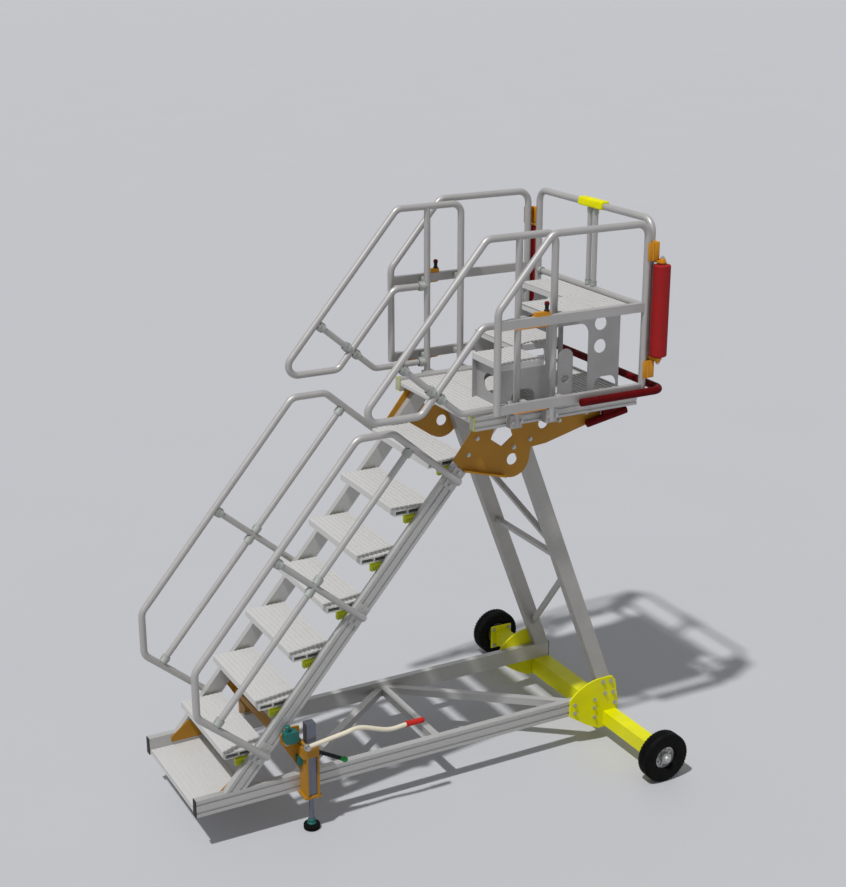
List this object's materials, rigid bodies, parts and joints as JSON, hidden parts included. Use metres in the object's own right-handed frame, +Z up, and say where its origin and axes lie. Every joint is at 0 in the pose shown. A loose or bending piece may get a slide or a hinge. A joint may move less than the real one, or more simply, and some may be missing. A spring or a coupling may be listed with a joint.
{
  "type": "maintenance access platform",
  "caption": "Mobile aluminium maintenance platform with stair, guarded deck, deck steps, corner rollers, wheeled axle and jacks with a pump lever.",
  "frame": {"origin": "on the floor under the middle of the bounding box", "axes": "+X from the stair foot to the wheels and the deck front, +Y across, +Z up"},
  "size_m": [2.811, 2.008, 3.256],
  "materials": {
    "aluminium": "satin extruded",
    "tread_aluminium": "ribbed, light",
    "grey_sheet": "matt grey",
    "mustard_paint": "satin mustard",
    "yellow_paint": "satin bright yellow",
    "clip_plastic": "yellow-green",
    "orange_paint": "satin orange",
    "roller_red": "red foam skin",
    "bumper_red": "dark red",
    "pad_yellow": "yellow",
    "black_plastic": "black",
    "tyre_rubber": "black tyre",
    "rim_steel": "silver",
    "column_steel": "dark grey",
    "pad_rubber": "black",
    "teal_paint": "green casting",
    "cream_paint": "cream",
    "grip_red": "red"
  },
  "bodies": {
    "platform": {"axle_beam": "yellow_paint", "axle_plates": "yellow_paint", "base_braces": "aluminium", "base_rail_far": "aluminium", "base_rail_near": "aluminium", "base_step": "tread_aluminium", "deck_bumper": "bumper_red", "deck_clips": "clip_plastic", "deck_planks": "tread_aluminium", "deck_rails": "aluminium", "foot_gussets": "mustard_paint", "front_guard": "aluminium", "front_pad": "pad_yellow", "guard_locks": "orange_paint", "guard_toggles": "orange_paint", "jack_beam": "mustard_paint", "jack_body_far": "mustard_paint", "jack_body_near": "mustard_paint", "jack_castings": "teal_paint", "jack_columns": "column_steel", "leg_braces": "aluminium", "leg_far": "grey_sheet", "leg_near": "grey_sheet", "lower_bumpers": "bumper_red", "lower_handrail_far": "aluminium", "lower_handrail_near": "aluminium", "platform_bracket_far": "mustard_paint", "platform_bracket_near": "mustard_paint", "rail_caps": "black_plastic", "release_handle": "black_plastic", "roller_brackets": "orange_paint", "side_guard_far": "aluminium", "side_guard_near": "aluminium", "step_cheeks": "grey_sheet", "step_planks_high": "tread_aluminium", "step_planks_low": "tread_aluminium", "stringer_far": "aluminium", "stringer_near": "aluminium", "tread_clips": "clip_plastic", "treads": "tread_aluminium", "upper_handrail_far": "aluminium", "upper_handrail_near": "aluminium"},
    "wheel_near": {"tyre_near": "tyre_rubber", "rim_near": "rim_steel"},
    "wheel_far": {"tyre_far": "tyre_rubber", "rim_far": "rim_steel"},
    "bumper_roller_near": {"roller_near": "roller_red"},
    "bumper_roller_far": {"roller_far": "roller_red"},
    "jack_foot_near": {"jack_stem_near": "column_steel", "jack_pad_near": "pad_rubber"},
    "jack_foot_far": {"jack_stem_far": "column_steel", "jack_pad_far": "pad_rubber"},
    "pump_lever": {"jack_lever": "cream_paint", "lever_grip": "grip_red"}
  },
  "joints": [
    {"name": "wheel_near_spin", "type": "hinge", "parent": "platform", "child": "wheel_near", "pos_m": [1.2555, -0.952, 0.15], "axis": [0, 1, 0], "continuous": true},
    {"name": "roller_near_spin", "type": "hinge", "parent": "platform", "child": "bumper_roller_near", "pos_m": [1.3055, -0.652, 2.735], "axis": [0, 0, 1], "continuous": true},
    {"name": "jack_near_slide", "type": "slide", "parent": "platform", "child": "jack_foot_near", "axis": [0, 0, 1], "range_m": [0, 0.113]},
    {"name": "wheel_far_spin", "type": "hinge", "parent": "platform", "child": "wheel_far", "pos_m": [1.2555, 0.952, 0.15], "axis": [0, 1, 0], "continuous": true},
    {"name": "roller_far_spin", "type": "hinge", "parent": "platform", "child": "bumper_roller_far", "pos_m": [1.3055, 0.652, 2.735], "axis": [0, 0, 1], "continuous": true},
    {"name": "jack_far_slide", "type": "slide", "parent": "platform", "child": "jack_foot_far", "axis": [0, 0, 1], "range_m": [0, 0.113]},
    {"name": "pump_lever_hinge", "type": "hinge", "parent": "platform", "child": "pump_lever", "pos_m": [-0.8025, -0.52, 0.54], "axis": [0, 1, 0], "range_deg": [-45, 20]}
  ],
  "couplings": [
    {"joint": "jack_far_slide", "follows": "jack_near_slide", "ratio": 1}
  ]
}
